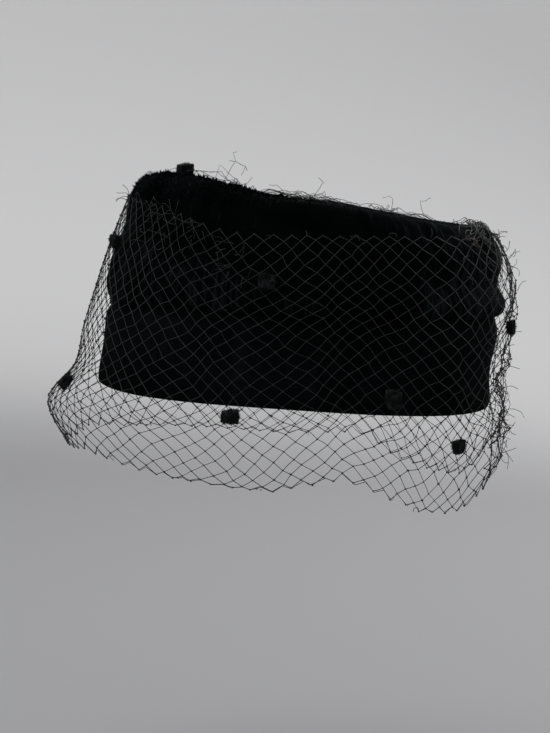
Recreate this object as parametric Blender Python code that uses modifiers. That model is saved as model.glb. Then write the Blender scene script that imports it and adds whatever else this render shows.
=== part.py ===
"""A pillbox hat of draped black velvet with a coarse net veil and chenille dots.

Metres, +Z up. The front of the hat faces -Y and the wearer's left is +X. The origin is the
centre of the head opening, in the plane of the rim. A turn is an angle around the hat that
starts at the front and passes the wearer's left.
"""
import math
from collections import namedtuple

import bmesh
import bpy
from mathutils import Matrix, Vector

# Velvet crown
RIM_LENGTH = 0.207
RIM_WIDTH = 0.168
CROWN_HEIGHT = 0.105
VELVET_THICKNESS = 0.0022
SEAM_CLEARANCE = 0.0003
TUCK_OVERLAP = 0.006
TIP_CLEARANCE = 0.0008
FOLD_DEPTH = 0.0022
GATHER_DEPTH = 0.0012
GATHERS = 17

# Net veil
VEIL_DROP = 0.050
VEIL_STRAND = 0.0011
VEIL_CLEARANCE = 0.0002
NET_COLUMNS = 24
BENT_ROWS = (0, 4, 5)
# Where the veil is drawn up: the middle and spread in degrees, and the height in metres
Lift = namedtuple("Lift", "turn spread rise")
BACK_LIFT = Lift(180, 20, 0.033)
EDGE_LIFT = Lift(312, 16, 0.016)

# Chenille dots
DOT_WIDTH = 0.0075
DOT_HEIGHT = 0.0068
DOT_THICKNESS = 0.004
DOT_CLEARANCE = 0.0004

# How finely the soft surfaces are divided
SIDES_AROUND = 56
BAND_STEPS = 7
DRAPE_STEPS = 15
TIP_STEPS = 4

VELVET = ("black_velvet", (0.012, 0.016, 0.017), 0.95)
NET = ("black_net", (0.02, 0.022, 0.024), 0.6)
CHENILLE = ("black_chenille", (0.015, 0.015, 0.016), 1.0)

# The outline at the front, side and back of the hat, one row for each change of form.
# An out is a share of the rim's oval. An up is a share of the crown's height, or of the
# veil's drop where it is below the rim.
Row = namedtuple("Row", "front_out front_up side_out side_up back_out back_up")

HEM = Row(1.000, -0.056, 1.000, 0.000, 0.990, -0.045)
HEM_ROLL = Row(1.006, 0.020, 1.004, 0.024, 0.998, 0.022)
LOW = Row(0.991, 0.120, 0.992, 0.130, 0.982, 0.115)
WAIST = Row(0.981, 0.245, 0.985, 0.255, 0.986, 0.210)
HIGH = Row(0.988, 0.335, 0.993, 0.365, 1.018, 0.345)
LIP = Row(0.965, 0.395, 0.968, 0.430, 1.010, 0.440)
LOWER_ROLL = Row(0.991, 0.475, 0.998, 0.505, 1.035, 0.490)
ROLL_TOP = Row(0.965, 0.620, 0.990, 0.590, 1.010, 0.545)
CREASE = Row(0.908, 0.755, 0.950, 0.660, 0.975, 0.600)
UPPER_ROLL = Row(0.903, 0.830, 0.962, 0.735, 1.010, 0.705)
SHOULDER = Row(0.888, 0.890, 0.938, 0.805, 0.945, 0.830)
CORNER = Row(0.855, 0.965, 0.885, 0.905, 0.890, 0.862)
TOP_EDGE = Row(0.800, 1.000, 0.810, 0.940, 0.820, 0.868)
TOP_SLOPE = Row(0.715, 1.018, 0.715, 0.925, 0.720, 0.862)
TIP_SEAM = Row(0.630, 1.008, 0.625, 0.912, 0.630, 0.855)
TIP_MIDDLE = Row(0.300, 0.950, 0.300, 0.905, 0.300, 0.885)
TIP_CENTRE = Row(0.000, 0.912, 0.000, 0.912, 0.000, 0.912)

BAND_ROWS = (HEM, HEM_ROLL, LOW, WAIST, HIGH)
DRAPE_ROWS = (LIP, LOWER_ROLL, ROLL_TOP, CREASE, UPPER_ROLL, SHOULDER)
TOP_ROWS = (CORNER, TOP_EDGE, TOP_SLOPE, TIP_SEAM)
# Each row of the net's knots below the first, which lies on the shoulder
NET_ROWS = (
    Row(0.968, 0.695, 1.008, 0.625, 1.042, 0.680),
    Row(1.030, 0.460, 1.026, 0.400, 1.069, 0.480),
    Row(1.083, 0.240, 1.036, 0.172, 1.056, 0.270),
    Row(1.133, 0.005, 1.056, -0.135, 1.030, -0.140),
    Row(1.243, -0.300, 1.086, -0.420, 1.075, -0.600),
    Row(1.130, -0.710, 1.076, -0.780, 1.020, -1.050),
)

# Soft dents in the velvet: where each lies, how it slants, and its size in shares of the
# crown's height and of the fold depth
Fold = namedtuple("Fold", "turn up slant length width depth")
FOLDS = (
    Fold(24, 0.52, -24, 0.34, 0.045, 1.0),
    Fold(52, 0.66, 18, 0.30, 0.050, 0.8),
    Fold(88, 0.60, -16, 0.36, 0.050, 0.9),
    Fold(96, 0.27, -12, 0.40, 0.050, 0.5),
    Fold(128, 0.55, 22, 0.34, 0.050, 1.0),
    Fold(146, 0.24, -30, 0.30, 0.050, 0.8),
    Fold(168, 0.72, 20, 0.22, 0.045, 0.9),
    Fold(196, 0.52, -20, 0.26, 0.045, 0.9),
    Fold(232, 0.60, 20, 0.36, 0.050, 1.0),
    Fold(258, 0.28, 14, 0.40, 0.050, 0.5),
    Fold(275, 0.63, -18, 0.32, 0.050, 0.8),
    Fold(312, 0.54, 22, 0.34, 0.050, 1.0),
    Fold(340, 0.70, -16, 0.26, 0.045, 0.7),
)

# Each dot sits on a strand that starts at a knot, a share of the way down to the next row,
# to the wearer's left or, where the slide is negative, to the other side
Dot = namedtuple("Dot", "column row slide width height")
DOTS = (
    Dot(1, 1, 0.05, 0.9, 1.0),
    Dot(1, 4, 0.2, 0.9, 1.1),
    Dot(4, 3, 0.95, 1.1, 0.9),
    Dot(5, 1, -0.2, 1.0, 1.0),
    Dot(7, 3, 0.45, 1.0, 1.2),
    Dot(9, 4, 0.4, 0.9, 1.0),
    Dot(11, 2, -0.4, 0.9, 1.0),
    Dot(14, 2, 0.4, 1.0, 1.0),
    Dot(15, 1, 0.5, 1.0, 1.1),
    Dot(16, 3, 0.0, 1.1, 1.0),
    Dot(18, 1, 0.3, 0.9, 1.0),
    Dot(19, 3, 0.0, 1.0, 1.0),
    Dot(21, 0, 0.0, 1.1, 0.9),
    Dot(22, 2, 0.5, 1.0, 1.0),
)


def material(name, colour, roughness):
    """A matt cloth material."""
    made = bpy.data.materials.new(name)
    made.use_nodes = True
    shader = made.node_tree.nodes["Principled BSDF"]
    shader.inputs["Base Color"].default_value = (*colour, 1)
    shader.inputs["Roughness"].default_value = roughness
    return made


def blend(front, side, back, turn):
    """A value that passes smoothly from the front to the side to the back."""
    ahead = math.cos(turn)
    weight = ahead * ahead * (3 - 2 * abs(ahead))
    return side + ((front if ahead > 0 else back) - side) * weight


def outward(turn):
    """The level direction that points away from the oval rim."""
    return Vector((math.sin(turn) / RIM_WIDTH, -math.cos(turn) / RIM_LENGTH, 0)).normalized()


def height(up):
    """The height of a share of the crown, or of the veil's drop below the rim."""
    return up * (CROWN_HEIGHT if up > 0 else VEIL_DROP)


def outline_point(row, turn):
    """Where a row of the outline tables passes a turn."""
    out = blend(row.front_out, row.side_out, row.back_out, turn)
    up = blend(height(row.front_up), height(row.side_up), height(row.back_up), turn)
    across = RIM_WIDTH / 2 * out * math.sin(turn)
    along = -RIM_LENGTH / 2 * out * math.cos(turn)
    return Vector((across, along, up))


def along_line(points, share):
    """A point on the smooth curve through the points, from 0 at the first to 1 at the last."""
    place = share * (len(points) - 1)
    first = min(int(place), len(points) - 2)
    part = place - first
    before, start, end, after = (
        points[max(0, min(len(points) - 1, first + step))] for step in (-1, 0, 1, 2)
    )
    bend = 2 * before - 5 * start + 4 * end - after
    twist = 3 * (start - end) + after - before
    return start + part / 2 * (end - before + part * (bend + part * twist))


def dent(turn, up):
    """How deep the folds press the velvet in at a turn and a height."""
    depth = 0
    for fold in FOLDS:
        away = (turn - math.radians(fold.turn) + math.pi) % (2 * math.pi) - math.pi
        level = away * RIM_LENGTH / 2 / CROWN_HEIGHT
        rise = up / CROWN_HEIGHT - fold.up
        slant = math.radians(fold.slant)
        lengthways = level * math.cos(slant) + rise * math.sin(slant)
        crossways = rise * math.cos(slant) - level * math.sin(slant)
        spread = (lengthways / fold.length) ** 2 + (crossways / fold.width) ** 2
        depth += FOLD_DEPTH * fold.depth * math.exp(-spread)
    return depth


def gather(turn, out):
    """How far the gathered velvet on the top rises, most at the seam of the tip."""
    reach = max(0, 1 - abs(out - TIP_SEAM.side_out) / (TOP_EDGE.side_out - TIP_SEAM.side_out))
    ripple = math.sin(GATHERS * turn) + 0.5 * math.sin((GATHERS + 6) * turn + 1)
    return GATHER_DEPTH * reach * ripple


def band_line(turn):
    """The side band from the hem to the edge that is tucked inside the drape."""
    inside = outline_point(LIP, turn) - outward(turn) * (VELVET_THICKNESS + 2 * SEAM_CLEARANCE)
    tucked = inside + Vector((0, 0, TUCK_OVERLAP))
    below = inside - Vector((0, 0, VELVET_THICKNESS))
    return [*(outline_point(row, turn) for row in BAND_ROWS), below, inside, tucked]


def drape_line(turn):
    """The draped velvet from its lower lip over the top edge to the seam of the tip."""
    return [outline_point(row, turn) for row in (*DRAPE_ROWS, *TOP_ROWS)]


def tip_line(turn):
    """The top oval, from under the drape's gathered edge to its centre."""
    below = Vector((0, 0, -VELVET_THICKNESS - TIP_CLEARANCE))
    rows = (TOP_SLOPE, TIP_SEAM, TIP_MIDDLE, TIP_CENTRE)
    slope, seam, *rest = [outline_point(row, turn) for row in rows]
    edge = seam.lerp(slope, 0.5)
    return [point + below for point in (edge, seam, *rest)]


def lifted(lift, turn):
    """How far a lift draws the veil up at a turn, most in its middle."""
    away = (math.degrees(turn) - lift.turn + 180) % 360 - 180
    return lift.rise * math.exp(-((away / lift.spread) ** 2))


def net_line(turn):
    """A line down the veil, from where it is tacked on the shoulder to its raw lower edge."""
    lift = (VEIL_STRAND / 2 + VEIL_CLEARANCE) / math.cos(math.pi / 4)
    shoulder = outline_point(SHOULDER, turn) + lift * (outward(turn) + Vector((0, 0, 1)))
    points = [shoulder, *(outline_point(row, turn) for row in NET_ROWS)]
    for step, point in enumerate(points):
        down = step / len(NET_ROWS)
        point.z += lifted(BACK_LIFT, turn) * down ** 3
    points[0].z += lifted(EDGE_LIFT, turn)
    return points


def velvet_point(line, turn, share):
    """A point on the velvet with its dents and gathers."""
    point = along_line(line(turn), share)
    out = math.hypot(point.x / RIM_WIDTH, point.y / RIM_LENGTH) * 2
    point -= outward(turn) * dent(turn, point.z) * min(1, out)
    point.z += gather(turn, out)
    return point


def net_point(turn, share):
    """A point on the veil's middle surface."""
    return along_line(net_line(turn), share)


def add_piece(name, mesh, look, collection):
    """An object for one sub-part."""
    piece = bpy.data.objects.new(name, mesh)
    mesh.materials.append(look)
    mesh.shade_smooth()
    collection.objects.link(piece)
    return piece


def wrapped_sheet(name, line, steps):
    """A sheet wrapped round the hat, whose outer side follows a line at each turn."""
    bm = bmesh.new()
    bmesh.ops.create_grid(bm, x_segments=SIDES_AROUND, y_segments=steps, size=0.5)
    for vert in bm.verts:
        turn = (vert.co.x + 0.5) * 2 * math.pi
        vert.co = velvet_point(line, turn, vert.co.y + 0.5)
    bmesh.ops.remove_doubles(bm, verts=bm.verts, dist=0.00001)
    mesh = bpy.data.meshes.new(name)
    bm.to_mesh(mesh)
    bm.free()
    return mesh


def velvet_piece(name, line, steps, look, collection):
    """A velvet wall of even thickness inside its outer side."""
    piece = add_piece(name, wrapped_sheet(name, line, steps), look, collection)
    wall = piece.modifiers.new("velvet", "SOLIDIFY")
    wall.thickness = VELVET_THICKNESS
    wall.offset = -1
    return piece


def strand_row(edge):
    """The row of strands that an edge of the drum belongs to, from 0 at the top."""
    middle = (edge.verts[0].co.z + edge.verts[1].co.z) / 2
    return math.floor((0.5 - middle) * len(NET_ROWS))


def net_cage():
    """The net's diamonds on a plain drum, with raw zigzag edges."""
    bm = bmesh.new()
    rows = len(NET_ROWS) // 2
    bmesh.ops.create_grid(bm, x_segments=NET_COLUMNS, y_segments=rows, size=0.5)
    for vert in bm.verts:
        turn = vert.co.x * 2 * math.pi
        vert.co = (math.sin(turn), -math.cos(turn), vert.co.y)
    bmesh.ops.remove_doubles(bm, verts=bm.verts, dist=0.0001)
    squares = bm.edges[:]
    bmesh.ops.poke(bm, faces=bm.faces)
    ends = [edge.link_faces[0] for edge in squares if edge.is_boundary]
    inner = [edge for edge in squares if not edge.is_boundary]
    bmesh.ops.dissolve_edges(bm, edges=inner, use_verts=False)
    bmesh.ops.delete(bm, geom=ends, context="FACES")
    bends = [edge for edge in bm.edges if strand_row(edge) in BENT_ROWS]
    bmesh.ops.bisect_edges(bm, edges=bends, cuts=1)
    return bm


def add_veil(look, collection):
    """The net, cut through at each diamond."""
    bm = net_cage()
    for vert in bm.verts:
        turn = math.atan2(vert.co.x, -vert.co.y)
        vert.co = net_point(turn, 0.5 - vert.co.z)
    gaps = bm.faces[:]
    bmesh.ops.inset_individual(bm, faces=gaps, thickness=VEIL_STRAND / 2, use_even_offset=True)
    bmesh.ops.delete(bm, geom=gaps, context="FACES")
    mesh = bpy.data.meshes.new("veil")
    bm.to_mesh(mesh)
    bm.free()
    piece = add_piece("veil", mesh, look, collection)
    strands = piece.modifiers.new("strands", "SOLIDIFY")
    strands.thickness = VEIL_STRAND
    strands.offset = 0
    return piece


def net_spot(dot, slide):
    """The turn, and the share of the way down the veil, at a slide from a dot's knot."""
    column = dot.column + (dot.row % 2) / 2 + slide / 2
    return column * 2 * math.pi / NET_COLUMNS, (dot.row + abs(slide)) / len(NET_ROWS)


def strand_point(dot):
    """The middle of the strand where a dot sits. A strand in a bent row has one bend."""
    bends = (0, 0.5, 1) if dot.row in BENT_ROWS else (0, 1)
    points = [net_point(*net_spot(dot, math.copysign(bend, dot.slide))) for bend in bends]
    place = abs(dot.slide) * (len(points) - 1)
    first = min(int(place), len(points) - 2)
    return points[first].lerp(points[first + 1], place - first)


def add_dot(number, dot, look, collection):
    """One flattened chenille dot, fixed outside the strand that carries it."""
    turn, share = net_spot(dot, dot.slide)
    across = net_point(turn + 0.01, share) - net_point(turn - 0.01, share)
    down = net_point(turn, min(1, share + 0.01)) - net_point(turn, max(0, share - 0.01))
    facing = down.cross(across).normalized()
    seat = VEIL_STRAND / 2 + DOT_CLEARANCE + DOT_THICKNESS / 2
    across.normalize()
    up = facing.cross(across)
    bm = bmesh.new()
    bmesh.ops.create_icosphere(bm, subdivisions=2, radius=0.5)
    size = Matrix.Diagonal((DOT_WIDTH * dot.width, DOT_HEIGHT * dot.height, DOT_THICKNESS, 1))
    axes = Matrix((across, up, facing)).transposed().to_4x4()
    move = Matrix.Translation(strand_point(dot) + facing * seat)
    bmesh.ops.transform(bm, matrix=move @ axes @ size, verts=bm.verts)
    name = f"chenille_dot_{number:02d}"
    mesh = bpy.data.meshes.new(name)
    bm.to_mesh(mesh)
    bm.free()
    return add_piece(name, mesh, look, collection)


def build():
    """The whole hat in one collection."""
    for old in list(bpy.data.objects):
        bpy.data.objects.remove(old)
    collection = bpy.data.collections.new("pillbox_hat")
    bpy.context.scene.collection.children.link(collection)
    velvet = material(*VELVET)
    velvet_piece("lower_band", band_line, BAND_STEPS, velvet, collection)
    velvet_piece("upper_drape", drape_line, DRAPE_STEPS, velvet, collection)
    velvet_piece("tip", tip_line, TIP_STEPS, velvet, collection)
    add_veil(material(*NET), collection)
    chenille = material(*CHENILLE)
    for number, dot in enumerate(DOTS, 1):
        add_dot(number, dot, chenille, collection)


build()
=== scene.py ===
"""A draped velvet pillbox hat with its net veil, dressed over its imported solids.

Metres, +Z up. The front faces -Y and the wearer's left is +X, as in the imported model. A turn
is an angle round the hat that starts at the front and passes the wearer's left.
"""
import math
import random

import bmesh
import bpy
import numpy
from mathutils import Matrix, Vector, noise


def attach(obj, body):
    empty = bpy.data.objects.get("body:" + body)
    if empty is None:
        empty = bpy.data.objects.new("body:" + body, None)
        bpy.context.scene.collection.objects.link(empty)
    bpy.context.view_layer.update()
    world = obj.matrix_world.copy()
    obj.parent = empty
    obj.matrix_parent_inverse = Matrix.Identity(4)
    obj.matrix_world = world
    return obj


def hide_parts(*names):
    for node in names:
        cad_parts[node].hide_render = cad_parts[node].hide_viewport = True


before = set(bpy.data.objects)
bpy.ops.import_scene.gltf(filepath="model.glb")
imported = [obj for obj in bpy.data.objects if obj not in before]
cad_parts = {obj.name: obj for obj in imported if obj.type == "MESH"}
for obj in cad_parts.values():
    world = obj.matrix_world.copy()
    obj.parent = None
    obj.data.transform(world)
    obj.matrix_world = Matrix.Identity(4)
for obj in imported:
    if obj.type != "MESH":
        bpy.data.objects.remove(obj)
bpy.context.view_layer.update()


# Lower band: a smooth side band of black silk velvet, cut on the bias and drawn over a stiff
# shape. Its lower edge is turned under and its upper edge is tucked behind the drape.

RIM_LENGTH = 0.207
RIM_WIDTH = 0.168
WELD = 0.00001
FLAT_PAIR = math.radians(50)
SQUARE_PAIR = math.radians(60)
VELVET_LEVELS = 2

PILE_DARK = (0.0003, 0.0004, 0.0005, 1)
# The pale pile, which is also painted on fold crests as a painted highlight
PILE_LIGHT = (0.0050, 0.0075, 0.0078, 1)
PILE_SHEEN = (0.42, 0.60, 0.60, 1)
PILE_LUSTRE = 0.0035
PILE_SPREAD = 0.45
PILE_GLOSS = 0.008
PILE_ROUGHNESS = 0.9
PILE_RELIEF = 0.0005
PILE_TUFTS = 1500
# Between which values the noise of the patches and of the streaks turns from dark to pale
PATCH_SPAN = (0.42, 0.78)
STREAK_SPAN = (0.50, 0.74)
# How slowly the streaks change along their length, as a share of how they change across it
STREAK_PACE = 0.16
# How strong the marks are, what is left of them in a groove's painted shade, and how pale a bare
# crest's painted highlight is
MARK_GAIN = 3.2
GROOVE_SHADE_MARKS = 0.06
CREST_HIGHLIGHT_GAIN = 0.10
# The even fold highlight of a look without folds
EVEN_FOLD_HIGHLIGHT = 0.5

BAND_DENT = 0.0007
DENT_MEAN = 0.5
DENT_REACH = 3
DENT_SCALE = 30


def add_node(tree, kind, inputs=None, **settings):
    """A shader node. Each input is given a value, or the output that feeds it."""
    made = tree.nodes.new("ShaderNode" + kind)
    for name, value in settings.items():
        setattr(made, name, value)
    for name, value in (inputs or {}).items():
        if isinstance(value, bpy.types.NodeSocket):
            tree.links.new(value, made.inputs[name])
        else:
            made.inputs[name].default_value = value
    return made


def combine(tree, operation, first, second, kind="Math", **settings):
    """What a sum or product of two values or vectors gives."""
    inputs = {0: first, 1: second}
    return add_node(tree, kind, inputs, operation=operation, **settings).outputs[0]


def noise_mask(tree, place, scale, detail, span):
    """Noise that turns from 0 to 1 between two of its values."""
    grain = add_node(tree, "TexNoise", {"Vector": place, "Scale": scale, "Detail": detail})
    mask = add_node(tree, "MapRange", {0: grain.outputs["Fac"], 1: span[0], 2: span[1]})
    return mask.outputs[0]


def mix_colours(tree, share, dark, light):
    """A colour between two others."""
    mixed = add_node(tree, "Mix", {"Factor": share, "A": dark, "B": light}, data_type="RGBA")
    return mixed.outputs["Result"]


def new_group(name, inputs, outputs):
    """An empty node group with named sockets, and its two end nodes."""
    tree = bpy.data.node_groups.new(name, "ShaderNodeTree")
    for socket, kind in inputs.items():
        tree.interface.new_socket(socket, in_out="INPUT", socket_type="NodeSocket" + kind)
    for socket, kind in outputs.items():
        tree.interface.new_socket(socket, in_out="OUTPUT", socket_type="NodeSocket" + kind)
    return tree, tree.nodes.new("NodeGroupInput"), tree.nodes.new("NodeGroupOutput")


def brushed_nap():
    """Pile that lies this way and that: pale and dark patches, upright streaks and fine tufts."""
    tree, start, end = new_group(
        "brushed nap",
        {"Vector": "Vector", "Dark": "Color", "Light": "Color", "Patch": "Float",
         "Streak": "Float", "Base": "Float", "Marks": "Float", "Tuft": "Float",
         "FoldHighlight": "Float", "Outward": "Float"},
        {"Color": "Color", "Height": "Float"},
    )
    given = start.outputs
    place = given["Vector"]
    patch = noise_mask(tree, place, given["Patch"], 4.0, PATCH_SPAN)
    # The streaks run upright, or outward over the top
    upright = combine(tree, "MULTIPLY", place, (1, 1, STREAK_PACE), "VectorMath")
    level = combine(tree, "MULTIPLY", place, (1, 1, 0), "VectorMath")
    way = add_node(tree, "VectorMath", {0: level}, operation="NORMALIZE")
    ring = add_node(tree, "VectorMath", {0: way.outputs[0], "Scale": RIM_LENGTH / 2},
                    operation="SCALE")
    slow = add_node(tree, "VectorMath", {0: place, "Scale": STREAK_PACE}, operation="SCALE")
    radial = combine(tree, "ADD", ring.outputs[0], slow.outputs[0], "VectorMath")
    lay = add_node(tree, "Mix", {0: given["Outward"], 4: upright, 5: radial},
                   data_type="VECTOR")
    streak = noise_mask(tree, lay.outputs[1], given["Streak"], 2.0, STREAK_SPAN)
    tuft = add_node(tree, "TexNoise", {"Vector": place, "Scale": given["Tuft"],
                                       "Detail": 2.0}).outputs["Fac"]
    both = combine(tree, "MULTIPLY", patch, streak)
    marks = combine(tree, "MULTIPLY", both, given["Marks"])
    base = combine(tree, "MULTIPLY", patch, given["Base"])
    speckled = combine(tree, "MULTIPLY", combine(tree, "ADD", marks, base), tuft)
    # A painted highlight on fold crests and painted shade in grooves scale the marks and the pile
    fold_shading = combine(tree, "ADD", given["FoldHighlight"], GROOVE_SHADE_MARKS)
    fold_lit = combine(tree, "MULTIPLY", speckled, fold_shading)
    painted_crest = combine(tree, "MULTIPLY", given["FoldHighlight"], CREST_HIGHLIGHT_GAIN)
    bright = combine(tree, "MULTIPLY", fold_lit, MARK_GAIN)
    share = combine(tree, "ADD", bright, painted_crest, use_clamp=True)
    tree.links.new(mix_colours(tree, share, given["Dark"], given["Light"]), end.inputs["Color"])
    tree.links.new(tuft, end.inputs["Height"])
    return tree


NAP = brushed_nap()


def new_look(name, roughness, sheen=0.0, spread=0.5, tint=(1, 1, 1, 1), gloss=0.5):
    """A material with its shader, and the coordinates that its patterns lie in."""
    look = bpy.data.materials.new(name)
    look.use_nodes = True
    tree = look.node_tree
    shader = tree.nodes["Principled BSDF"]
    shader.inputs["Roughness"].default_value = roughness
    shader.inputs["Specular IOR Level"].default_value = gloss
    shader.inputs["Sheen Weight"].default_value = sheen
    shader.inputs["Sheen Roughness"].default_value = spread
    shader.inputs["Sheen Tint"].default_value = tint
    return look, tree, shader, tree.nodes.new("ShaderNodeTexCoord").outputs["Object"]


def pile_look(name, dark, light, patch, streak, base, marks, tuft, relief, fold_lit=False,
              **finish):
    """A look of brushed pile, with its own colours and sizes."""
    look, tree, shader, place = new_look(name, PILE_ROUGHNESS, **finish)
    nap = add_node(tree, "Group", node_tree=NAP)
    tree.links.new(place, nap.inputs["Vector"])
    sizes = {"Dark": dark, "Light": light, "Patch": patch, "Streak": streak,
             "Base": base, "Marks": marks, "Tuft": tuft, "FoldHighlight": EVEN_FOLD_HIGHLIGHT,
             "Outward": 1.0 if fold_lit else 0.0}
    for socket, value in sizes.items():
        nap.inputs[socket].default_value = value
    # A look with folds reads its painted fold highlight and groove shade from the mesh
    if fold_lit:
        fold_highlight = add_node(tree, "Attribute", attribute_name="fold_highlight")
        tree.links.new(fold_highlight.outputs["Fac"], nap.inputs["FoldHighlight"])
    bump = add_node(tree, "Bump", {"Height": nap.outputs["Height"], "Distance": relief})
    tree.links.new(nap.outputs["Color"], shader.inputs["Base Color"])
    tree.links.new(bump.outputs["Normal"], shader.inputs["Normal"])
    return look


def velvet_look(name, patch, streak, base, marks, fold_lit=False):
    """Black silk velvet, with patches and upright marks of given sizes and strengths."""
    return pile_look(name, PILE_DARK, PILE_LIGHT, patch, streak, base, marks, PILE_TUFTS,
                     PILE_RELIEF, fold_lit, sheen=PILE_LUSTRE, spread=PILE_SPREAD,
                     tint=PILE_SHEEN, gloss=PILE_GLOSS)


def turn_of(point):
    """The turn at which a point lies."""
    return math.atan2(point.x / RIM_WIDTH, -point.y / RIM_LENGTH)


def outward(turn):
    """The level direction that points away from the oval rim."""
    return Vector((math.sin(turn) / RIM_WIDTH, -math.cos(turn) / RIM_LENGTH, 0)).normalized()


def ring_noise(turn, reach, level):
    """Smooth noise that closes round the hat, finer the larger its reach."""
    return noise.noise(Vector((reach * math.cos(turn), reach * math.sin(turn), level)))


def mesh_from(bm, name, look):
    """The mesh that the bmesh steps have made, with its look."""
    mesh = bpy.data.meshes.new(name)
    bm.to_mesh(mesh)
    bm.free()
    mesh.materials.append(look)
    return mesh


def shape_of(guide, name, look):
    """The smooth mesh that a curve or a modified object gives. The object itself is dropped."""
    bpy.context.collection.objects.link(guide)
    whole = guide.evaluated_get(bpy.context.evaluated_depsgraph_get())
    mesh = bpy.data.meshes.new_from_object(whole)
    bpy.data.objects.remove(guide)
    mesh.name = name
    mesh.materials.clear()
    mesh.materials.append(look)
    mesh.shade_smooth()
    return mesh


def add_piece(name, mesh):
    """A piece of the hat, which moves with its root."""
    piece = bpy.data.objects.new(name, mesh)
    bpy.context.collection.objects.link(piece)
    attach(piece, "root")
    return piece


def velvet_wall(node, name, look):
    """A finely divided copy of a packed velvet wall."""
    bm = bmesh.new()
    bm.from_mesh(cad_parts[node].data)
    bmesh.ops.remove_doubles(bm, verts=bm.verts, dist=WELD)
    bmesh.ops.join_triangles(bm, faces=bm.faces, angle_face_threshold=FLAT_PAIR,
                             angle_shape_threshold=SQUARE_PAIR)
    cage = bpy.data.objects.new(name + "_cage", mesh_from(bm, name + "_cage", look))
    fine = cage.modifiers.new("fine", "SUBSURF")
    fine.levels = fine.render_levels = VELVET_LEVELS
    piece = add_piece(name, shape_of(cage, name, look))
    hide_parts(node)
    return piece


smooth_velvet = velvet_look("smooth_black_velvet", patch=15, streak=150, base=0.55, marks=0.5)
band = velvet_wall("lower_band", "velvet_band", smooth_velvet)
for vert in band.data.vertices:
    turn = turn_of(vert.co)
    pull = ring_noise(turn, DENT_REACH, vert.co.z * DENT_SCALE)
    vert.co -= outward(turn) * BAND_DENT * (DENT_MEAN + pull)


# Upper drape: a bias strip of the same velvet, folded into two soft rolls round the crown,
# turned over the top edge and gathered on to the oval top. Small tucks hold its folds.

CREASE_DEPTH = 0.0024
CREASE_PITCH = 0.024
CREASE_REACH = 1.6
CREASE_SHARPNESS = 4
# How deep the creases are on the whole, and how slowly that changes along them, as shares
CREASE_MEAN = 0.6
CREASE_FADE = 0.6
# Each wave of the creases round the crown: its size in pitches, its number and its start
CREASE_WAVES = ((0.5, 2, 1), (0.35, 5, 0))
PLEAT_HEIGHT = 0.0008
PLEAT_INNER = 0.60
PLEAT_OUTER = 0.84
PLEAT_SHIFT = 2
PLEAT_REACH = 2
PLEAT_SEED = 4
# Each set of pleats: how many there are, how far they are shifted, and how high they are
PLEATS = ((53, 3, 1), (31, 1, 0.5))
TOP_LEAN = 0.0022
LEAN_FROM = 0.076
LEAN_BLEND = 0.014
EDGE_LEVEL = 0.086
EDGE_BLEND = 0.012
TUCK_DEPTH = 0.0021
TUCK_WIDTH = 0.030
TUCK_REACH = 0.014
TUCK_LEAN = 4
# The turn of each tuck in degrees, and its depth in shares of the tuck depth
TUCKS = (
    (14, 0.7), (38, 0.9), (66, 0.6), (91, 1.0), (108, 1.0), (129, 1.2), (152, 0.7), (171, 0.9),
    (198, 0.8), (222, 1.0), (247, 0.7), (269, 0.9), (291, 0.8), (318, 1.0), (341, 0.8),
)
# How pale the painted fold highlight is on a level stretch and at most, the depth of a groove
# that darkens it with painted shade and the height of a pleat that lightens it, each by a
# whole step, and the share of it that is lost over the top
LEVEL_HIGHLIGHT = 0.62
MOST_HIGHLIGHT = 1.2
GROOVE_SHADE_DEPTH = 0.0030
PLEAT_HIGHLIGHT_HEIGHT = 0.0018
TOP_HIGHLIGHT_LOSS = 0.5

# Its pile is painted paler on fold crests and darker in creases: painted highlight and shade
folded_velvet = velvet_look("folded_black_velvet", patch=18, streak=430, base=0.28, marks=5.5,
                            fold_lit=True)
drape = velvet_wall("upper_drape", "velvet_drape", folded_velvet)


def clamp(value):
    """A value held between 0 and 1."""
    return min(1, max(0, value))


def bell(away, spread, power=2):
    """A value that is 1 in the middle and falls smoothly to 0 beyond a spread."""
    return math.exp(-((away / spread) ** power))


def turn_from(middle, turn):
    """How far a turn is past another one, or before it where it is below 0."""
    return (turn - middle + math.pi) % (2 * math.pi) - math.pi


def crease_depth(turn, level):
    """How far the long soft creases press the drape in."""
    wander = sum(size * math.sin(count * turn + start) for size, count, start in CREASE_WAVES)
    place = Vector((CREASE_REACH * math.cos(turn), CREASE_REACH * math.sin(turn),
                    level / CREASE_PITCH + wander))
    ridge = 1 - min(1, abs(noise.noise(place)) * CREASE_SHARPNESS)
    return CREASE_DEPTH * ridge * ridge * (CREASE_MEAN + noise.noise(place * CREASE_FADE))


def tuck_depth(turn, level):
    """How far the upright tucks under the top edge press the drape in."""
    above = level - EDGE_LEVEL
    depth = 0
    for middle, share in TUCKS:
        away = turn_from(math.radians(middle), turn + above * TUCK_LEAN)
        depth += share * bell(away, TUCK_WIDTH)
    return TUCK_DEPTH * depth * bell(above, TUCK_REACH)


def out_share(point):
    """How far out a point lies, as a share of the rim's oval."""
    return 2 * math.hypot(point.x / RIM_WIDTH, point.y / RIM_LENGTH)


def lean(point):
    """How far the soft top leans up towards the wearer's left at a point."""
    return TOP_LEAN * clamp((point.z - LEAN_FROM) / LEAN_BLEND) * point.x / (RIM_WIDTH / 2)


def pleat_height(turn, out):
    """How high the small pleats stand where the velvet is gathered on to the tip."""
    shift = PLEAT_SHIFT * ring_noise(turn, PLEAT_REACH, PLEAT_SEED)
    near_seam = clamp((PLEAT_OUTER - out) / (PLEAT_OUTER - PLEAT_INNER))
    wave = sum(share * math.sin(count * turn + far * shift) for count, far, share in PLEATS)
    return PLEAT_HEIGHT * near_seam * wave


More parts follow.
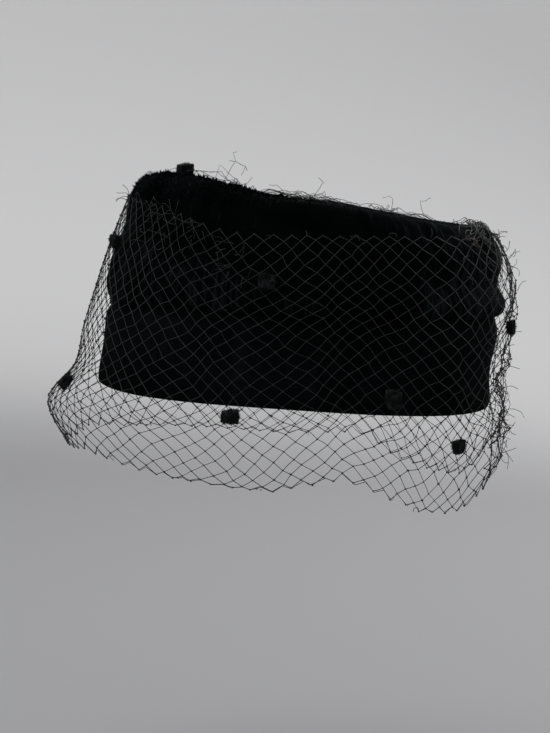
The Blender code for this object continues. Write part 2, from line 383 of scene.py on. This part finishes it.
# Painted fold highlight: paler on pleats, painted shade in creases and tucks, weaker on top
fold_highlights = drape.data.attributes.new("fold_highlight", "FLOAT", "POINT")
for vert in drape.data.vertices:
    turn, level, out = turn_of(vert.co), vert.co.z, out_share(vert.co)
    over_top = clamp((level - EDGE_LEVEL) / EDGE_BLEND)
    pressed = crease_depth(turn, level) * (1 - over_top) + tuck_depth(turn, level)
    pleat = pleat_height(turn, out)
    vert.co += Vector((0, 0, pleat + lean(vert.co))) - outward(turn) * pressed
    fold_highlight = LEVEL_HIGHLIGHT - pressed / GROOVE_SHADE_DEPTH + pleat / PLEAT_HIGHLIGHT_HEIGHT
    fold_highlights.data[vert.index].value = min(MOST_HIGHLIGHT, max(0, fold_highlight)) * (1 - TOP_HIGHLIGHT_LOSS * over_top)


# Tip: the oval top piece of the same velvet, sewn in just under the gathered edge and a
# little sunken, with the dimples of a soft cloth over an open shape.

TIP_DIMPLE = 0.0012
DIMPLE_SCALE = 45
DIMPLE_SEED = 7
tip = velvet_wall("tip", "velvet_tip", smooth_velvet)
for vert in tip.data.vertices:
    place = Vector((vert.co.x * DIMPLE_SCALE, vert.co.y * DIMPLE_SCALE, DIMPLE_SEED))
    vert.co.z += TIP_DIMPLE * min(0, noise.noise(place)) + lean(vert.co)


# Raised nap: where the velvet is bent hard over the top edge its pile parts and stands up in
# short tufts, most of all at the front, and a finer fuzz of it softens the other edges.

NAP_SEED = 11
NAP_FROM = 0.074
NAP_TILT = 1.2
NAP_FACING = 0.1
NAP_LEAN = 0.45
NAP_REACH = 1.35
SPIKE_SIDES = 3
BATCH = 100
# The raised pile is painted paler than the velvet: a painted highlight on the tufts
highlit_nap_velvet = velvet_look("raised_black_velvet_highlit", patch=45, streak=420, base=0.90, marks=6.0)
rng = random.Random(NAP_SEED)


def face_places(mesh, wanted):
    """The faces that are wanted, each with its area, added up for drawing at random."""
    found, total = [], 0
    for face in mesh.polygons:
        if wanted(face):
            total += face.area
            found.append((total, face.center.copy(), face.normal.copy(), math.sqrt(face.area)))
    return found, total


def draw_place(found, total):
    """A random point on the faces, with the normal there."""
    goal = rng.random() * total
    low, high = 0, len(found) - 1
    while low < high:
        middle = (low + high) // 2
        if found[middle][0] < goal:
            low = middle + 1
        else:
            high = middle
    _, centre, normal, side = found[low]
    across = normal.orthogonal().normalized()
    along = normal.cross(across)
    spot = centre + side * ((rng.random() - 0.5) * across + (rng.random() - 0.5) * along)
    return spot, normal


def random_way(lowest=-1, highest=1):
    """A random direction, with the least and most that it may go up."""
    return Vector((rng.uniform(-1, 1), rng.uniform(-1, 1), rng.uniform(lowest, highest)))


def add_copies(bm, operator, matrices, **shape):
    """The same small shape at each matrix, in batches, as operators slow on a large mesh."""
    for first in range(0, len(matrices), BATCH):
        part = bmesh.new()
        for matrix in matrices[first:first + BATCH]:
            operator(part, matrix=matrix, **shape)
        batch = bpy.data.meshes.new("batch")
        part.to_mesh(batch)
        part.free()
        bm.from_mesh(batch)
        bpy.data.meshes.remove(batch)


def spike(foot, point, width):
    """The matrix that sets a spike of unit size on its foot."""
    way = point - foot
    turned = way.to_track_quat("Z", "Y").to_matrix().to_4x4()
    size = Matrix.Diagonal((width, width, way.length, 1))
    return Matrix.Translation(foot + way / 2) @ turned @ size


def add_spikes(bm, matrices):
    """One closed spike at each matrix."""
    add_copies(bm, bmesh.ops.create_cone, matrices, cap_ends=True, segments=SPIKE_SIDES,
               radius1=0.5, radius2=0, depth=1)


def upper_outside(face):
    """Whether a face is on the outside of the drape, near or above its top edge."""
    facing = face.normal.dot(outward(turn_of(face.center))) + NAP_TILT * face.normal.z
    return face.center.z > NAP_FROM and facing > NAP_FACING


def tufts(count, anywhere, fall, start, lowest, heights, growth, widths, root):
    """Tufts on the outside: a share of them anywhere, the rest at the front of the top edge."""
    made = []
    while len(made) < count:
        spot, normal = draw_place(found, total)
        front = bell(turn_of(spot), NAP_REACH, fall) * clamp((spot.z - start) / EDGE_BLEND)
        if rng.random() > anywhere + (1 - anywhere) * front:
            continue
        way = (normal + NAP_LEAN * random_way(lowest)).normalized()
        height = rng.uniform(heights[0], heights[1] + growth * front)
        made.append(spike(spot - normal * root, spot + way * height, rng.uniform(*widths)))
    return made


found, total = face_places(drape.data, upper_outside)
fine_tufts = tufts(15000, anywhere=0.12, fall=4, start=EDGE_LEVEL, lowest=-1,
                   heights=(0.00035, 0.00056), growth=0.00063, widths=(0.00042, 0.00084),
                   root=0.0002)
clumps = tufts(900, anywhere=0, fall=6, start=EDGE_LEVEL + 0.004, lowest=-0.3,
               heights=(0.00105, 0.00300), growth=0, widths=(0.00144, 0.00234), root=0.0006)
bm = bmesh.new()
add_spikes(bm, fine_tufts + clumps)
add_piece("raised_nap", mesh_from(bm, "raised_nap", highlit_nap_velvet))


# Veil: a band of stiff black netting with knotted diamonds of about 9 by 8 mm. It is tacked
# round the crown with its cut edge up, hangs free past the rim, and is bunched at the back.

CROWN_HEIGHT = 0.105
VEIL_DROP = 0.050
NET_COLUMNS = 72
NET_ROWS = 34
THREAD = 0.00035
THREAD_SLACK = 0.3
NET_LIFT = 0.00095
NET_STANDOFF = 0.0003
NET_SEED = 23
# Where along its length the net stops being tacked, and how soon it hangs quite free
FREE_FROM = 0.08
FREE_BLEND = 0.25
BUNCH_TURN = math.radians(172)
BUNCH_SPREAD = math.radians(26)
BUNCH_DRAW = 0.40
# How far a knot slips along its row and drops below it, in cells, and how large knots are
KNOT_SLIP = 0.035
KNOT_DROP = 0.07
KNOT_SIZES = (0.00060, 0.00085)
EDGE_SLACK = 0.12
EDGE_DEPTH = 0.9
# The height and sag of each level of the net at the front, side and back, from the shoulder
# of the crown down to the cut edge. An out is a share of the rim's oval, an up a share of
# the crown's height, or of the veil's drop where it is below the rim.
LEVELS = (
    (0.888, 0.890, 0.938, 0.805, 0.945, 0.830),
    (0.968, 0.695, 1.008, 0.625, 1.042, 0.680),
    (1.030, 0.460, 1.026, 0.400, 1.069, 0.480),
    (1.083, 0.240, 1.036, 0.172, 1.056, 0.270),
    (1.133, 0.005, 1.056, -0.135, 1.030, -0.140),
    (1.243, -0.300, 1.086, -0.420, 1.075, -0.600),
    (1.130, -0.710, 1.076, -0.780, 1.020, -1.050),
)
# The levels are then spaced evenly down the net. A length below the rim counts for less, so
# that the rows lie a little wider apart where the net hangs free.
HANG_PULL = 0.90
PROFILE_STEPS = 3000
# Where the net is drawn up: the middle and spread in degrees, and the height
BACK_LIFT = (180, 20, 0.033)
EDGE_LIFT = (312, 16, 0.016)
# Where its edges are cut unevenly: the middle and spread in degrees, and the share cut away
TOP_CUTS = ((66, 20, 0.050), (200, 25, 0.02), (258, 14, 0.03))
BOTTOM_CUTS = ((106, 15, 0.075), (250, 12, 0.05), (30, 14, 0.02), (335, 12, 0.03))
# How the net wanders to the side and up in cells, and out in metres. Each drift has a seed,
# its number of waves and its size, and may be felt only where the net is bunched.
DRIFT_GAIN = 1.8
SIDE_DRIFTS = ((3, 1.8, 0.40, False), (9, 6, 0.16, False), (41, 9, 0.8, True))
RISE_DRIFTS = ((17, 2.0, 0.35, False), (29, 7, 0.14, False), (47, 8, 0.8, True))
OUT_DRIFTS = ((61, 4, 0.0007, False), (67, 12, 0.0030, True))
RISE_SHARE = 0.9


def blend(front, side, back, turn):
    """A value that passes smoothly from the front to the side to the back."""
    ahead = math.cos(turn)
    weight = ahead * ahead * (3 - 2 * abs(ahead))
    return side + ((front if ahead > 0 else back) - side) * weight


def height(up):
    """The height of a share of the crown, or of the veil's drop below the rim."""
    return up * (CROWN_HEIGHT if up > 0 else VEIL_DROP)


def local(place, turn):
    """What a change with a middle and a spread in degrees and a size comes to at a turn."""
    middle, spread, size = place
    return size * bell(turn_from(math.radians(middle), turn), math.radians(spread))


def smooth_point(points, share):
    """Where a smooth line through points has come to at a share of its spans."""
    last = len(points) - 1
    place = clamp(share) * last
    first = min(int(place), last - 1)
    part = place - first
    before, start, end, after = (points[max(0, min(last, first + k))] for k in (-1, 0, 1, 2))
    bend = 2 * before - 5 * start + 4 * end - after
    twist = 3 * (start - end) + after - before
    return start + part / 2 * (end - before + part * (bend + part * twist))


def spaced_profile(column, half):
    """The out share and height of evenly spaced levels down one side, from its two columns."""
    points = [Vector((level[column] * half, height(level[column + 1]))) for level in LEVELS]
    fine = [smooth_point(points, step / PROFILE_STEPS) for step in range(PROFILE_STEPS + 1)]
    run = [0]
    for one, two in zip(fine, fine[1:]):
        run.append(run[-1] + (two - one).length * (HANG_PULL if two.y < 0 else 1))
    profile = []
    for step in range(len(LEVELS)):
        goal = run[-1] * step / (len(LEVELS) - 1)
        spot = fine[min(range(len(run)), key=lambda place: abs(run[place] - goal))]
        profile.append((spot.x / half, spot.y))
    return profile


SPACED_LEVELS = list(zip(spaced_profile(0, RIM_LENGTH / 2), spaced_profile(2, RIM_WIDTH / 2),
                         spaced_profile(4, RIM_LENGTH / 2)))


def level_point(level, turn):
    """Where a level of the net passes a turn."""
    outs, ups = zip(*level)
    out, up = blend(*outs, turn), blend(*ups, turn)
    across = RIM_WIDTH / 2 * out * math.sin(turn)
    return Vector((across, -RIM_LENGTH / 2 * out * math.cos(turn), up))


def sheet_point(turn, share):
    """A point on the smooth middle surface of the net."""
    points = [level_point(level, turn) for level in SPACED_LEVELS]
    points[0] += NET_LIFT * (outward(turn) + Vector((0, 0, 1)))
    for step, point in enumerate(points):
        point.z += local(BACK_LIFT, turn) * (step / (len(points) - 1)) ** 3
    points[0].z += local(EDGE_LIFT, turn)
    return smooth_point(points, share)


def bunched(turn):
    """How far the net is bunched up, most in the middle of the back."""
    return bell(turn_from(BUNCH_TURN, turn), BUNCH_SPREAD)


def drift(drifts, turn, share, crush):
    """What the drifts of one kind add up to at a place on the net."""
    total = 0
    for seed, waves, size, in_bunch in drifts:
        felt = crush if in_bunch else 1
        total += felt * size * DRIFT_GAIN * ring_noise(turn, waves, share * waves + seed)
    return total


def net_place(column, row):
    """Where the net passes a column and a row, which need not be whole numbers."""
    cell = 2 * math.pi / NET_COLUMNS
    turn = column * cell
    share = row / NET_ROWS
    crush = bunched(turn)
    free = clamp((share - FREE_FROM) / FREE_BLEND)
    rise = drift(RISE_DRIFTS, turn, share, crush)
    side = drift(SIDE_DRIFTS, turn, share, crush)
    turn += cell * side - BUNCH_DRAW * crush * turn_from(BUNCH_TURN, turn)
    top_cut = sum(local(cut, turn) for cut in TOP_CUTS)
    bottom_cut = sum(local(cut, turn) for cut in BOTTOM_CUTS)
    share = top_cut + share * (1 - top_cut - bottom_cut)
    share += rise * free / (NET_ROWS / 2) * RISE_SHARE
    sway = drift(OUT_DRIFTS, turn, share, crush) + NET_STANDOFF
    return sheet_point(turn, share) + outward(turn) * sway * free


rng = random.Random(NET_SEED)
jitter = {}


def knot_place(column, row):
    """Where a knot lies, a little off its place in the pattern."""
    key = (round(2 * column) % (2 * NET_COLUMNS), row)
    if key not in jitter:
        jitter[key] = (rng.gauss(0, KNOT_SLIP), rng.gauss(0, KNOT_DROP))
    slip, drop = jitter[key]
    return net_place(column + slip, row + drop)


def strand(column, way):
    """A thread that runs down the net, half a column to one side in each row."""
    line = []
    for row in range(NET_ROWS + 1):
        here = column + way * row / 2
        knot = knot_place(here, row)
        if line:
            middle = net_place(here - way / 4, row - 0.5)
            straight = (line[-1] + knot) / 2
            line.append(straight.lerp(middle, THREAD_SLACK))
        line.append(knot)
    return line


def edge_thread():
    """A second thread that doubles the net's lower edge from knot to knot."""
    line = []
    for step in range(2 * NET_COLUMNS + 1):
        slack = rng.uniform(-EDGE_SLACK, EDGE_SLACK)
        point = net_place(step / 2 + slack, NET_ROWS - step % 2 * EDGE_DEPTH + slack)
        line.append(point + NET_STANDOFF * outward(turn_of(point)))
    return line


def threads(name, lines, width, look):
    """A mesh of round threads along lines, with closed ends."""
    curve = bpy.data.curves.new(name + "_lines", "CURVE")
    curve.dimensions = "3D"
    curve.bevel_depth = width / 2
    curve.bevel_resolution = 0
    curve.use_fill_caps = True
    for line in lines:
        spline = curve.splines.new("POLY")
        spline.points.add(len(line) - 1)
        for point, place in zip(spline.points, line):
            point.co = (*place, 1)
    mesh = shape_of(bpy.data.objects.new(name + "_lines", curve), name, look)
    bm = bmesh.new()
    bm.from_mesh(mesh)
    bmesh.ops.remove_doubles(bm, verts=bm.verts, dist=WELD / 10)
    bm.to_mesh(mesh)
    bm.free()
    return mesh


THREAD_DARK = (0.0026, 0.0029, 0.0031, 1)
THREAD_LIGHT = (0.0090, 0.0103, 0.0108, 1)
net_look, tree, shader, place = new_look("black_net_thread", 0.55, sheen=0.04, gloss=0.2)
worn = noise_mask(tree, place, scale=160.0, detail=3.0, span=(0.3, 0.7))
ply = add_node(tree, "TexNoise", {"Vector": place, "Scale": 4200.0, "Detail": 1.0})
twisted = add_node(tree, "Bump", {"Height": ply.outputs["Fac"], "Distance": 0.00008})
tree.links.new(mix_colours(tree, worn, THREAD_DARK, THREAD_LIGHT), shader.inputs["Base Color"])
tree.links.new(twisted.outputs["Normal"], shader.inputs["Normal"])

lines = [strand(column, way) for column in range(NET_COLUMNS) for way in (-1, 1)]
lines.append(edge_thread())
mesh = threads("net_veil", lines, THREAD, net_look)
bm = bmesh.new()
bm.from_mesh(mesh)
knots = []
for row in range(NET_ROWS + 1):
    for column in range(NET_COLUMNS):
        spot = Matrix.Translation(knot_place(column + row % 2 / 2, row))
        turned = Matrix.Rotation(rng.random() * math.pi, 4, "Z")
        knots.append(spot @ turned @ Matrix.Scale(rng.uniform(*KNOT_SIZES), 4))
add_copies(bm, bmesh.ops.create_cube, knots, size=1)
bm.to_mesh(mesh)
bm.free()
veil = add_piece("net_veil", mesh)
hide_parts("veil")


# Loose ends: cut and pulled threads of the net that curl up along its raw upper edge and
# stray over the top, a torn piece of three diamonds that stands up, and tangles at the back.

FRAY_SEED = 37
FRAY_STEPS = 12
FRAY_WIDTH = 0.00028
FRAY_TWIST = 0.32
FRAY_LENGTHS = (0.5, 1.3)
FRAY_STANDOFF = 0.0004
# The least and most that a thread first goes up, how far outward it leaves, how far out it
# stands for each part that it stands up, and how fast its bend changes
CURL_RISES = (-0.5, 0.8)
CURL_OUT = 0.3
CURL_TILT = 0.5
CURL_CHANGE = 0.5
STRAY_TWIST = 0.5
STRAY_RISE = 0.0055
STRAY_STAND = 0.2
STRAY_LENGTHS = (0.5, 1.2)
# Each row of frayed threads: the first and last column and row of the net that it spans, how
# many there are, how long they are, and how far they stand up
FRAYS = (
    (4, 12, 0.0, 1.0, 12, 0.008, 0.4),
    (6, 10, 0.5, 5.0, 14, 0.012, 0.1),
    (11, 15, 1.0, 7.0, 20, 0.011, 0.1),
    (12, 29, 0.0, 0.4, 9, 0.006, 0.2),
    (27, 33, 0.0, 8.0, 26, 0.011, 0.2),
    (28, 36, 0.0, 1.0, 10, 0.008, 0.9),
    (30, 38, 6.0, 20.0, 14, 0.008, 0.6),
    (31, 38, 22.0, 32.0, 40, 0.012, 0.4),
    (44, 66, 0.0, 0.5, 20, 0.010, 0.9),
    (66, 76, 0.0, 1.0, 9, 0.008, 0.5),
    (0, 72, 33.5, 34.0, 14, 0.004, 0.1),
)
# Each row of threads that stray over the top: the box across and along that they start in,
# how many there are, and how long they are
STRAYS = (
    (-0.064, -0.056, -0.024, 0.014, 10, 0.010),
    (-0.062, -0.054, 0.010, 0.045, 9, 0.008),
)
# Each row of threads pulled out of the net that lie over the top in loops: the first and
# last column of the net that they leave, how far in they reach, and how many there are
TANGLES = (
    (49.0, 60.0, 0.023, 12),
    (56.0, 63.0, 0.022, 4),
    (42.0, 52.0, 0.020, 6),
    (36.0, 44.0, 0.012, 9),
    (27.0, 36.0, 0.010, 12),
    (66.0, 75.0, 0.010, 6),
)
TANGLE_STEPS = 22
TANGLE_REACHES = (0.5, 1.05)
TANGLE_LOOPS = (1.2, 3.2)
TANGLE_LOOP = 0.0024
TANGLE_RISE = 0.0015
# How blunt a tangle's way in and back is, how its loops lag inward, and how they shake
TANGLE_BLUNT = 0.6
TANGLE_LAG = 0.7
TANGLE_SHAKE = 0.3
ABOVE_ALL = 0.2
TOP_STANDOFF = 0.0005
rng = random.Random(FRAY_SEED)


def random_bend():
    """A random vector that is as likely to point any way."""
    return Vector((rng.gauss(0, 1), rng.gauss(0, 1), rng.gauss(0, 1)))


def curl(point, out, length, stand, twist):
    """One loose thread that bends at random as it leaves its place."""
    start = point.z
    up = CURL_TILT * out + Vector((0, 0, 1))
    way = (random_way(*CURL_RISES) + CURL_OUT * out + stand * up).normalized()
    line = [point.copy()]
    bend = random_way()
    for _ in range(FRAY_STEPS):
        bend = bend + CURL_CHANGE * random_bend()
        way = (way + twist * bend.normalized()).normalized()
        if point.z > start + STRAY_RISE:
            way.z = -abs(way.z)
        point = point + way * length / FRAY_STEPS
        line.append(point.copy())
    return line


def on_top(across, along):
    """The place on the drape straight below a point over the top."""
    spot = drape.ray_cast((across, along, ABOVE_ALL), (0, 0, -1))[1]
    return spot + Vector((0, 0, TOP_STANDOFF))


def tangle(first, last, reach):
    """One thread that leaves the net's edge, loops over the top and comes back to the edge."""
    third = (last - first) / 3
    start, end = rng.uniform(first, first + third), rng.uniform(last - third, last)
    reach *= rng.uniform(*TANGLE_REACHES)
    loops = rng.uniform(*TANGLE_LOOPS) * 2 * math.pi
    phase = rng.uniform(0, 2 * math.pi)
    line = []
    for step in range(TANGLE_STEPS + 1):
        part = step / TANGLE_STEPS
        free = math.sin(math.pi * part)
        loop = loops * part + phase
        foot = net_place(start + part * (end - start), 0)
        out = outward(turn_of(foot))
        inward = reach * free ** TANGLE_BLUNT + free * TANGLE_LOOP * math.sin(TANGLE_LAG * loop)
        sideways = free * TANGLE_LOOP * math.cos(loop)
        spot = foot - inward * out + sideways * Vector((-out.y, out.x, 0))
        spot.z = max(foot.z, on_top(spot.x, spot.y).z)
        spot.z += free * TANGLE_RISE * (1 + math.sin(loop) + TANGLE_SHAKE * rng.uniform(-1, 1))
        line.append(spot)
    return line


# The torn piece and three pulled threads: how far back and how high their knots lie
TORN_THREADS = (
    ((-0.0535, 0.1000), (-0.0494, 0.1123), (-0.0445, 0.1080), (-0.0407, 0.1053),
     (-0.0358, 0.1013), (-0.0314, 0.1066)),
    ((-0.0490, 0.1000), (-0.0445, 0.1080), (-0.0410, 0.1146), (-0.0355, 0.1123),
     (-0.0343, 0.1100)),
    ((-0.0355, 0.1123), (-0.0375, 0.1072)),
    ((-0.0443, 0.1150), (-0.0410, 0.1146), (-0.0426, 0.1194), (-0.0407, 0.1202)),
    ((-0.0440, 0.0990), (-0.0407, 0.1053)),
    ((0.0642, 0.0915), (0.0624, 0.0965), (0.0620, 0.1000), (0.0650, 0.1005), (0.0674, 0.1020)),
    ((0.0460, 0.0940), (0.0465, 0.1001), (0.0441, 0.1015), (0.0409, 0.1005)),
    ((0.0010, 0.0970), (0.0060, 0.1030), (0.0080, 0.1065), (0.0050, 0.1090)),
)
TORN_ACROSS = -0.058
TORN_SLACK = Vector((0.0004, 0.0002, -0.0003))
# How far its knots are off one plane, and how fast that changes from knot to knot and along
TORN_SWAY = 0.0012
SWAY_PER_KNOT = 9
SWAY_ALONG = 400


def torn_thread(knots):
    """One thread of the torn piece, a little slack between its knots."""
    line = []
    for step, (along, level) in enumerate(knots):
        sway = TORN_SWAY * math.sin(SWAY_PER_KNOT * step + SWAY_ALONG * along)
        knot = Vector((TORN_ACROSS + sway, along, level))
        if line:
            line.append((line[-1] + knot) / 2 + TORN_SLACK * (1 if step % 2 else -1))
        line.append(knot)
    return line


lines = [torn_thread(knots) for knots in TORN_THREADS]
for first, last, high, low, count, length, stand in FRAYS:
    for _ in range(count):
        start = net_place(rng.uniform(first, last), rng.uniform(high, low))
        out = outward(turn_of(start))
        long = length * rng.uniform(*FRAY_LENGTHS)
        lines.append(curl(start + FRAY_STANDOFF * out, out, long, stand, FRAY_TWIST))
for left, right, ahead, behind, count, length in STRAYS:
    for _ in range(count):
        spot = on_top(rng.uniform(left, right), rng.uniform(ahead, behind))
        long = length * rng.uniform(*STRAY_LENGTHS)
        lines.append(curl(spot, Vector((0, 0, 1)), long, STRAY_STAND, STRAY_TWIST))
for first, last, reach, count in TANGLES:
    lines.extend(tangle(first, last, reach) for _ in range(count))
mesh = threads("loose_ends", lines, FRAY_WIDTH, net_look)
loose_ends = add_piece("loose_ends", mesh)


# Tacking threads: a few rust-brown stitches that tack the net to the velvet near the back.
# They are cut short and their ends stand out from the net.

TACK_COLUMNS = (27.6, 28.6)
TACK_ROWS = (0.2, 1.8)
TACKS = 9
TACK_LENGTHS = (0.003, 0.006)
TACK_STANDOFF = 0.0003
TACK_BROWN = (0.030, 0.009, 0.008, 1)
tack_look, tree, shader, place = new_look("rust_brown_thread", 0.6, sheen=0.1, gloss=0.3)
shader.inputs["Base Color"].default_value = TACK_BROWN
lines = []
for _ in range(TACKS):
    start = net_place(rng.uniform(*TACK_COLUMNS), rng.uniform(*TACK_ROWS))
    out = outward(turn_of(start))
    long = rng.uniform(*TACK_LENGTHS)
    lines.append(curl(start + TACK_STANDOFF * out, out, long, 0, FRAY_TWIST))
mesh = threads("tacking_threads", lines, FRAY_WIDTH, tack_look)
tacks = add_piece("tacking_threads", mesh)


# Chenille dots: short lengths of black chenille, each knotted round a thread of the net and
# brushed out into a square fuzzy block.

BLOCK_SHARE = 0.98
BLOCK_BEVEL = 0.0006
BLOCK_SLACK = 0.0011
FIBRES = 520
FIBRE_LENGTHS = (0.00056, 0.00154)
FIBRE_WIDTH = 0.00030
FIBRE_LEAN = 0.45
FIBRE_ROOT = 0.0003
DOT_SEED = 53
CHENILLE_DARK = (0.0015, 0.0016, 0.0017, 1)
CHENILLE_LIGHT = (0.0300, 0.0340, 0.0350, 1)
chenille = pile_look("black_chenille", CHENILLE_DARK, CHENILLE_LIGHT, patch=300, streak=900,
                     base=0.45, marks=1.0, tuft=3000, relief=0.0002, sheen=0.02, gloss=0.03)
rng = random.Random(DOT_SEED)


def seat_of(solid):
    """The middle of a packed dot, its axes across, up and away from the hat, and its size."""
    places = [vert.co for vert in solid.data.vertices]
    middle = sum(places, Vector()) / len(places)
    thin = numpy.linalg.eigh(numpy.cov(numpy.array(places).T))[1][:, 0]
    facing = Vector(thin)
    if facing.dot(outward(turn_of(middle))) < 0:
        facing.negate()
    across = Vector((0, 0, 1)).cross(facing).normalized()
    axes = (across, facing.cross(across), facing)
    size = [2 * max((place - middle).dot(axis) for place in places) for axis in axes]
    return middle, Matrix(axes).transposed().to_4x4(), size


def block(solid):
    """A soft square block in a packed dot's place, pulled a little out of true."""
    middle, axes, size = seat_of(solid)
    bm = bmesh.new()
    bmesh.ops.create_cube(bm, size=BLOCK_SHARE)
    for vert in bm.verts:
        vert.co = Vector([value * side for value, side in zip(vert.co, size)])
        vert.co += Vector([rng.uniform(-BLOCK_SLACK, BLOCK_SLACK) for _ in range(3)])
    bmesh.ops.bevel(bm, geom=bm.edges, offset=BLOCK_BEVEL, segments=2, profile=0.5,
                    affect="EDGES", material=-1)
    bmesh.ops.transform(bm, matrix=Matrix.Translation(middle) @ axes, verts=bm.verts)
    return bm


for name in sorted(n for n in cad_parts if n.startswith("chenille_dot")):
    bm = block(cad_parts[name])
    core = bpy.data.meshes.new(name + "_core")
    bm.to_mesh(core)
    found, total = face_places(core, lambda face: True)
    fibres = []
    for _ in range(FIBRES):
        spot, normal = draw_place(found, total)
        way = (normal + FIBRE_LEAN * random_bend()).normalized()
        end = spot + way * rng.uniform(*FIBRE_LENGTHS)
        fibres.append(spike(spot - normal * FIBRE_ROOT, end, FIBRE_WIDTH))
    add_spikes(bm, fibres)
    mesh = mesh_from(bm, "fuzzy_" + name, chenille)
    dot = add_piece("fuzzy_" + name.removeprefix("chenille_"), mesh)
    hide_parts(name)


# Stage: a plain pale floor that curves up into a backdrop, soft studio lights, and a camera
# at the photograph's distance, height and roll.

FLOOR_LEVEL = -0.23
FLOOR_REACH = 1.5
COVE_RADIUS = 0.5
COVE_STEPS = 12
WALL_HEIGHT = 0.3
FLOOR_COLOUR = (0.25, 0.25, 0.255, 1)
WALL_COLOUR = (0.64, 0.64, 0.64, 1)
# How far from the hat the floor's tint starts and ends its change to the wall's
TINT_FROM = 0.9
TINT_TO = 2.0

bm = bmesh.new()
bmesh.ops.create_circle(bm, cap_ends=True, segments=96, radius=FLOOR_REACH)
rim = [edge for edge in bm.edges if edge.is_boundary]
for step in range(COVE_STEPS):
    made = bmesh.ops.extrude_edge_only(bm, edges=rim)["geom"]
    rim = [item for item in made if isinstance(item, bmesh.types.BMEdge)]
    verts = [item for item in made if isinstance(item, bmesh.types.BMVert)]
    angle = (step + 0.5) / COVE_STEPS * math.pi / 2
    pace = COVE_RADIUS * math.pi / 2 / COVE_STEPS
    for vert in verts:
        vert.co += vert.co.normalized() * pace * math.cos(angle)
        vert.co.z += pace * math.sin(angle)
made = bmesh.ops.extrude_edge_only(bm, edges=rim)["geom"]
bmesh.ops.translate(bm, vec=(0, 0, WALL_HEIGHT),
                    verts=[item for item in made if isinstance(item, bmesh.types.BMVert)])
floor_look, tree, shader, place = new_look("pale_floor", 0.8, gloss=0.2)
flat = combine(tree, "MULTIPLY", place, (1, 1, 0), "VectorMath")
away = add_node(tree, "VectorMath", {0: flat}, operation="LENGTH")
rise = add_node(tree, "MapRange", {0: away.outputs["Value"], 1: TINT_FROM, 2: TINT_TO},
                interpolation_type="SMOOTHSTEP")
tint = mix_colours(tree, rise.outputs[0], FLOOR_COLOUR, WALL_COLOUR)
tree.links.new(tint, shader.inputs["Base Color"])
mesh = mesh_from(bm, "floor", floor_look)
mesh.transform(Matrix.Translation((0, 0, FLOOR_LEVEL)))
mesh.shade_smooth()
floor = bpy.data.objects.new("floor", mesh)
bpy.context.collection.objects.link(floor)

STUDIO_COLOUR = (0.60, 0.60, 0.61, 1)
STUDIO_STRENGTH = 1.40
scene = bpy.context.scene
scene.view_settings.view_transform = "Standard"
world = bpy.data.worlds.new("studio")
world.use_nodes = True
world.node_tree.nodes["Background"].inputs["Color"].default_value = STUDIO_COLOUR
world.node_tree.nodes["Background"].inputs["Strength"].default_value = STUDIO_STRENGTH
scene.world = world

# The name, place, width and power of each soft light, which all face the hat
LIGHTS = (
    ("overhead", (0.10, -0.35, 1.1), 0.7, 6),
    ("near_side", (1.2, -0.9, 0.5), 0.9, 3),
    ("far_side", (-1.0, 0.9, 0.8), 0.7, 12),
)
for name, place, width, power in LIGHTS:
    lamp = bpy.data.lights.new(name, "AREA")
    lamp.shape = "DISK"
    lamp.size = width
    lamp.energy = power
    light = bpy.data.objects.new(name, lamp)
    light.location = place
    light.rotation_mode = "QUATERNION"
    light.rotation_quaternion = (-Vector(place)).to_track_quat("-Z", "Y")
    bpy.context.collection.objects.link(light)

CAMERA_DISTANCE = 1.0
CAMERA_HEIGHT = math.radians(7.84)
CAMERA_ROLL = math.radians(3.94)
PHOTO_WIDTH = 550
PHOTO_HEIGHT = 733
FOCAL_PIXELS = 1900
SENSOR = 36.0
# The pixel of the photograph where the centre of the head opening lies
ORIGIN_PIXEL = (295, 387.5)

back = Vector((math.cos(CAMERA_HEIGHT), 0, math.sin(CAMERA_HEIGHT)))
right = Vector((0, 1, 0))
up = back.cross(right)
rolled_right = math.cos(CAMERA_ROLL) * right + math.sin(CAMERA_ROLL) * up
rolled_up = math.cos(CAMERA_ROLL) * up - math.sin(CAMERA_ROLL) * right
lens = bpy.data.cameras.new("photo_camera")
lens.sensor_fit = "AUTO"
lens.sensor_width = SENSOR
lens.lens = SENSOR * FOCAL_PIXELS / PHOTO_HEIGHT
lens.shift_x = (PHOTO_WIDTH / 2 - ORIGIN_PIXEL[0]) / PHOTO_HEIGHT
lens.shift_y = (ORIGIN_PIXEL[1] - PHOTO_HEIGHT / 2) / PHOTO_HEIGHT
camera = bpy.data.objects.new("photo_camera", lens)
axes = Matrix((rolled_right, rolled_up, back)).transposed().to_4x4()
camera.matrix_world = Matrix.Translation(back * CAMERA_DISTANCE) @ axes
bpy.context.collection.objects.link(camera)
scene.camera = camera
